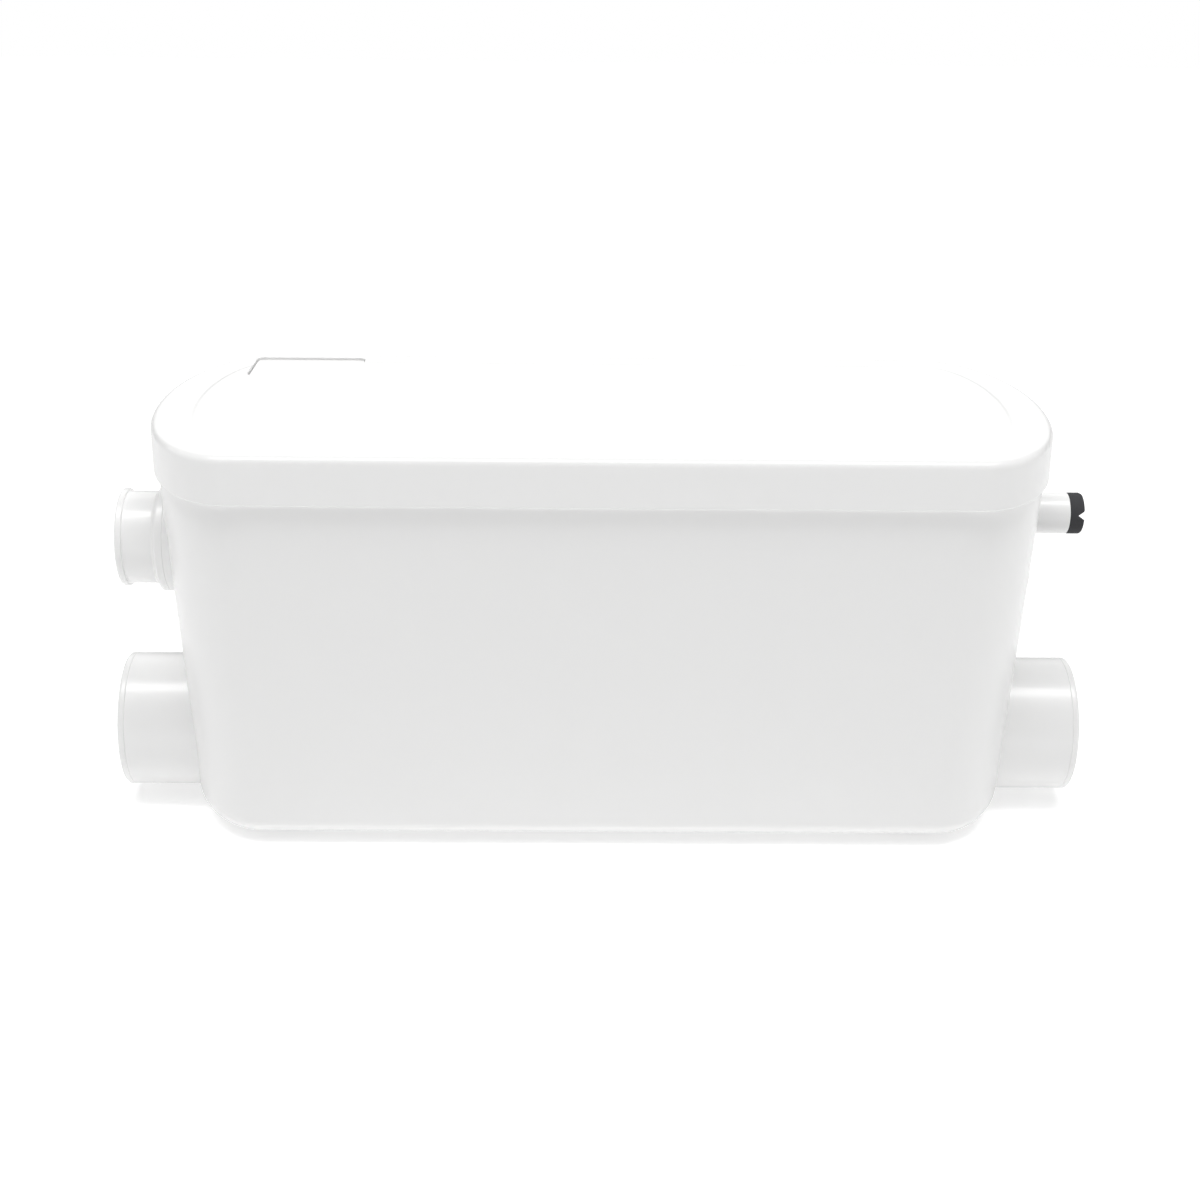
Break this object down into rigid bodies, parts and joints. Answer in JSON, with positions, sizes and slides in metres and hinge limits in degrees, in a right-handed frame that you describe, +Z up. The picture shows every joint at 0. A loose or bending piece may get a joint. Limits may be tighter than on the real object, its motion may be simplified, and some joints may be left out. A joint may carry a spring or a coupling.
{
  "type": "shower sump pump",
  "caption": "Compact waste-water pump box for a shower or basin: white tank with lift-off lid, low push-fit inlets, high discharge spigot, plugged spare inlet and an internal pump unit.",
  "frame": {"origin": "on the floor, under the middle of the whole pump; the middle of the tank is 5.6 mm to the left", "axes": "+Z up, +X towards the plugged spare inlet and the cable gland, -Y towards the front, where the inlets are set forward"},
  "size_m": [0.3744, 0.147, 0.1529],
  "materials": {
    "white_abs": "satin moulded",
    "black_rubber": "matt moulded",
    "hose_rubber": "matt extruded",
    "grey_plastic": "moulded",
    "steel": "bright",
    "motor_metal": "die-cast",
    "lamination": "stacked sheet",
    "copper": "enamelled wire",
    "brass": "plated",
    "carbon": "open foam",
    "capacitor_white": "moulded",
    "terminal_white": "moulded",
    "switch_black": "moulded"
  },
  "bodies": {
    "tank": {"tank": "white_abs", "rubber_feet": "black_rubber", "tank_seal": "black_rubber", "inlet_seal_left": "black_rubber", "inlet_seal_right": "black_rubber", "end_ring_left": "white_abs", "end_ring_right": "white_abs", "inlet_seat_left": "white_abs", "inlet_seat_right": "white_abs", "flap_pin_left": "steel", "flap_pin_right": "steel", "discharge_spigot": "white_abs", "spigot_nut": "white_abs", "check_valve_body": "grey_plastic", "check_valve_pin": "steel", "discharge_hose": "hose_rubber", "hose_clamps": "steel", "gland_body": "white_abs", "gland_bush": "black_rubber", "gland_nut": "white_abs", "mounting_plate": "grey_plastic", "plate_grommets": "black_rubber", "plate_screws": "steel", "motor_casing": "motor_metal", "motor_cover": "motor_metal", "cover_screws": "steel", "flange_screws": "steel", "stator_core": "lamination", "stator_winding": "copper", "upper_bearing": "steel", "lower_bearing": "steel", "shaft_seal": "black_rubber", "volute": "grey_plastic", "volute_gasket": "black_rubber", "strainer": "grey_plastic", "strainer_screws": "steel", "capacitor": "capacitor_white", "capacitor_clip": "steel", "terminal_block": "terminal_white", "terminal_screws": "brass", "cord_clamp": "grey_plastic", "clamp_screws": "steel", "dip_tube": "grey_plastic", "switch_diaphragm": "black_rubber", "switch_housing": "grey_plastic", "microswitch": "switch_black", "lever_pin": "steel"},
    "lid": {"lid": "white_abs"},
    "filter": {"filter_cover": "white_abs", "carbon_filter": "carbon"},
    "rotor": {"motor_shaft": "steel", "rotor_core": "lamination", "impeller": "grey_plastic"},
    "inlet_flap_left": {"inlet_flap_left": "black_rubber"},
    "inlet_flap_right": {"inlet_flap_right": "black_rubber"},
    "check_flap": {"check_valve_flap": "black_rubber"},
    "plug": {"blanking_plug": "black_rubber"},
    "plunger": {"switch_plunger": "terminal_white"},
    "lever": {"switch_lever": "steel"}
  },
  "joints": [
    {"name": "lid_lift", "type": "slide", "parent": "tank", "child": "lid", "axis": [0, 0, 1], "range_m": [0, 0.06]},
    {"name": "filter_lift", "type": "slide", "parent": "lid", "child": "filter", "axis": [0, 0, 1], "range_m": [0, 0.03]},
    {"name": "rotor_spin", "type": "hinge", "parent": "tank", "child": "rotor", "pos_m": [-0.0056, 0, 0.0835], "axis": [0, 0, 1], "continuous": true},
    {"name": "inlet_flap_left_swing", "type": "hinge", "parent": "tank", "child": "inlet_flap_left", "pos_m": [-0.14669, -0.0126, 0.054], "axis": [0, -1, 0], "range_deg": [0, 60]},
    {"name": "inlet_flap_right_swing", "type": "hinge", "parent": "tank", "child": "inlet_flap_right", "pos_m": [0.13548, -0.0126, 0.054], "axis": [0, 1, 0], "range_deg": [0, 60]},
    {"name": "check_flap_swing", "type": "hinge", "parent": "tank", "child": "check_flap", "pos_m": [-0.13059, 0, 0.10942], "axis": [0, 1, 0], "range_deg": [0, 60]},
    {"name": "plug_pull", "type": "slide", "parent": "tank", "child": "plug", "axis": [1, 0, 0], "range_m": [0, 0.02]},
    {"name": "plunger_rise", "type": "slide", "parent": "tank", "child": "plunger", "axis": [0, 0, 1], "range_m": [0, 0.002]},
    {"name": "lever_lift", "type": "hinge", "parent": "tank", "child": "lever", "pos_m": [0.0844, 0, 0.07865], "axis": [0, 1, 0], "range_deg": [0, 10.12]}
  ],
  "couplings": [
    {"joint": "lever_lift", "follows": "plunger_rise", "rad_per_m": 88.354}
  ]
}
